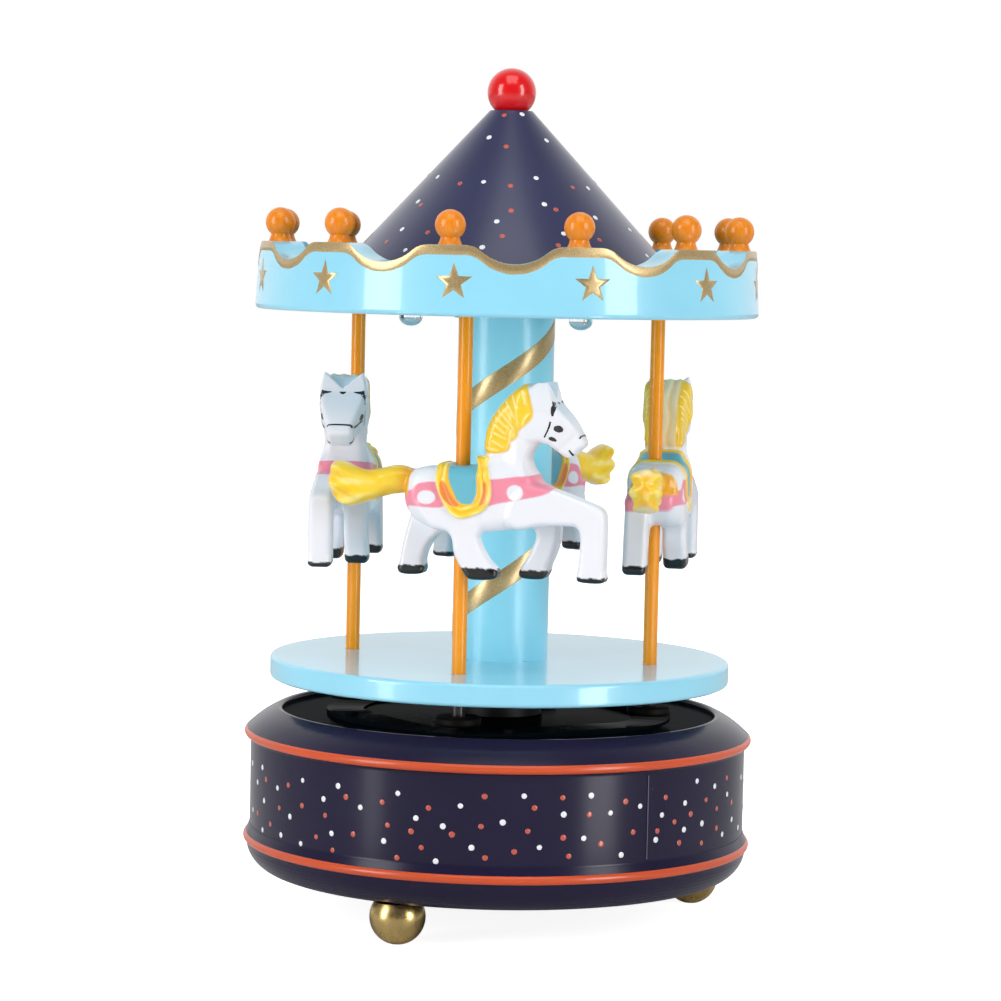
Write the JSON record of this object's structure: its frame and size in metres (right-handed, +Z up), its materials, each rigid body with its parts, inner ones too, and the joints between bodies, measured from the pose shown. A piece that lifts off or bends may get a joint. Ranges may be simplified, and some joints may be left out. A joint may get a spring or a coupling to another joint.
{
  "type": "carousel music box",
  "caption": "Clockwork carousel music box: a turned base on ball feet carries a rotating platform with pole-mounted horses, a column and a scalloped canopy with a cone roof.",
  "frame": {"origin": "centre of the plane the feet rest on, on the carousel's axis", "axes": "+Z up along the carousel's axis, the front looks towards -Y"},
  "size_m": [0.11, 0.1123, 0.1826],
  "materials": {
    "navy_lacquer": "turned wood under gloss navy lacquer, with painted dots and orange beads",
    "deck_lacquer": "board under gloss dark lacquer",
    "sky_lacquer": "turned wood under gloss light blue lacquer, with gold paint",
    "knob_paint": "small turned wood under glossy amber stain",
    "red_paint": "turned wood ball under glossy red paint",
    "pole_paint": "glossy orange yellow paint on a thin rod",
    "shoe_wood": "plain turned wood",
    "foot_metal": "satin brass plating",
    "movement_brass": "plain brass",
    "movement_steel": "bright steel",
    "screw_steel": "zinc plated steel",
    "horse_plastic": "moulded plastic horse, painted and glossy",
    "lamp_lens": "clear moulded lamp",
    "black_plastic": "plain black moulding",
    "cell_steel": "bright button cell",
    "wire_red": "thin insulated lead"
  },
  "bodies": {
    "base": {"base_plinth": "navy_lacquer", "base_band": "navy_lacquer", "base_shoulder": "navy_lacquer", "base_deck": "deck_lacquer", "bottom_board": "navy_lacquer", "bottom_screws": "screw_steel", "feet": "foot_metal", "foot_screws": "screw_steel", "deck_screws": "screw_steel", "cam_track": "deck_lacquer", "spindle_bushing": "movement_brass", "movement_bedplate": "movement_steel", "movement_screws": "screw_steel", "spring_arbor": "movement_brass", "mainspring": "movement_steel", "comb_block": "movement_brass", "comb": "movement_steel", "comb_screws": "screw_steel", "cylinder_brackets": "movement_brass", "governor_frame": "movement_brass"},
    "carousel": {"spindle": "movement_steel", "spring_barrel": "movement_brass", "platform_hub": "black_plastic", "hub_screws": "screw_steel", "platform": "sky_lacquer", "column": "sky_lacquer", "tie_rod": "movement_steel", "tie_nut": "screw_steel", "canopy_ceiling": "sky_lacquer", "canopy_ring": "sky_lacquer", "crown_knobs": "knob_paint", "roof_cone": "navy_lacquer", "roof_ball": "red_paint", "lamps": "lamp_lens", "battery_holder": "black_plastic", "button_cells": "cell_steel", "lamp_wires": "wire_red", "switch_body": "black_plastic"},
    "switch": {"switch_slider": "black_plastic"},
    "cylinder": {"music_cylinder": "movement_brass", "cylinder_gears": "movement_steel"},
    "governor": {"governor_wheel": "movement_brass"},
    "fly": {"air_brake": "movement_steel"},
    "rider_1": {"pole_1": "pole_paint", "horse_1": "horse_plastic", "pole_shoe_1": "shoe_wood"},
    "rider_2": {"pole_2": "pole_paint", "horse_2": "horse_plastic", "pole_shoe_2": "shoe_wood"},
    "rider_3": {"pole_3": "pole_paint", "horse_3": "horse_plastic", "pole_shoe_3": "shoe_wood"},
    "rider_4": {"pole_4": "pole_paint", "horse_4": "horse_plastic", "pole_shoe_4": "shoe_wood"}
  },
  "joints": [
    {"name": "carousel_spin", "type": "hinge", "parent": "base", "child": "carousel", "pos_m": [0, 0, 0], "axis": [0, 0, 1], "continuous": true},
    {"name": "cylinder_spin", "type": "hinge", "parent": "base", "child": "cylinder", "pos_m": [0, 0, 0.03058], "axis": [1, 0, 0], "continuous": true},
    {"name": "governor_spin", "type": "hinge", "parent": "base", "child": "governor", "pos_m": [0, -0.0086, 0.02456], "axis": [1, 0, 0], "continuous": true},
    {"name": "fly_spin", "type": "hinge", "parent": "base", "child": "fly", "pos_m": [0.038, -0.01575, 0], "axis": [0, 0, 1], "continuous": true},
    {"name": "switch_slide", "type": "slide", "parent": "carousel", "child": "switch", "axis": [-0.454, 0.891, 0], "range_m": [0, 0.002]},
    {"name": "rider_1_lift", "type": "slide", "parent": "carousel", "child": "rider_1", "axis": [0, 0, 1], "range_m": [0, 0.003]},
    {"name": "rider_2_lift", "type": "slide", "parent": "carousel", "child": "rider_2", "axis": [0, 0, 1], "range_m": [0, 0.003]},
    {"name": "rider_3_lift", "type": "slide", "parent": "carousel", "child": "rider_3", "axis": [0, 0, 1], "range_m": [0, 0.003]},
    {"name": "rider_4_lift", "type": "slide", "parent": "carousel", "child": "rider_4", "axis": [0, 0, 1], "range_m": [0, 0.003]}
  ],
  "couplings": [
    {"joint": "cylinder_spin", "follows": "carousel_spin", "ratio": 3},
    {"joint": "governor_spin", "follows": "carousel_spin", "ratio": -6},
    {"joint": "fly_spin", "follows": "carousel_spin", "ratio": -48},
    {"joint": "rider_2_lift", "follows": "rider_1_lift", "ratio": 1},
    {"joint": "rider_3_lift", "follows": "rider_1_lift", "ratio": 1},
    {"joint": "rider_4_lift", "follows": "rider_1_lift", "ratio": 1}
  ]
}
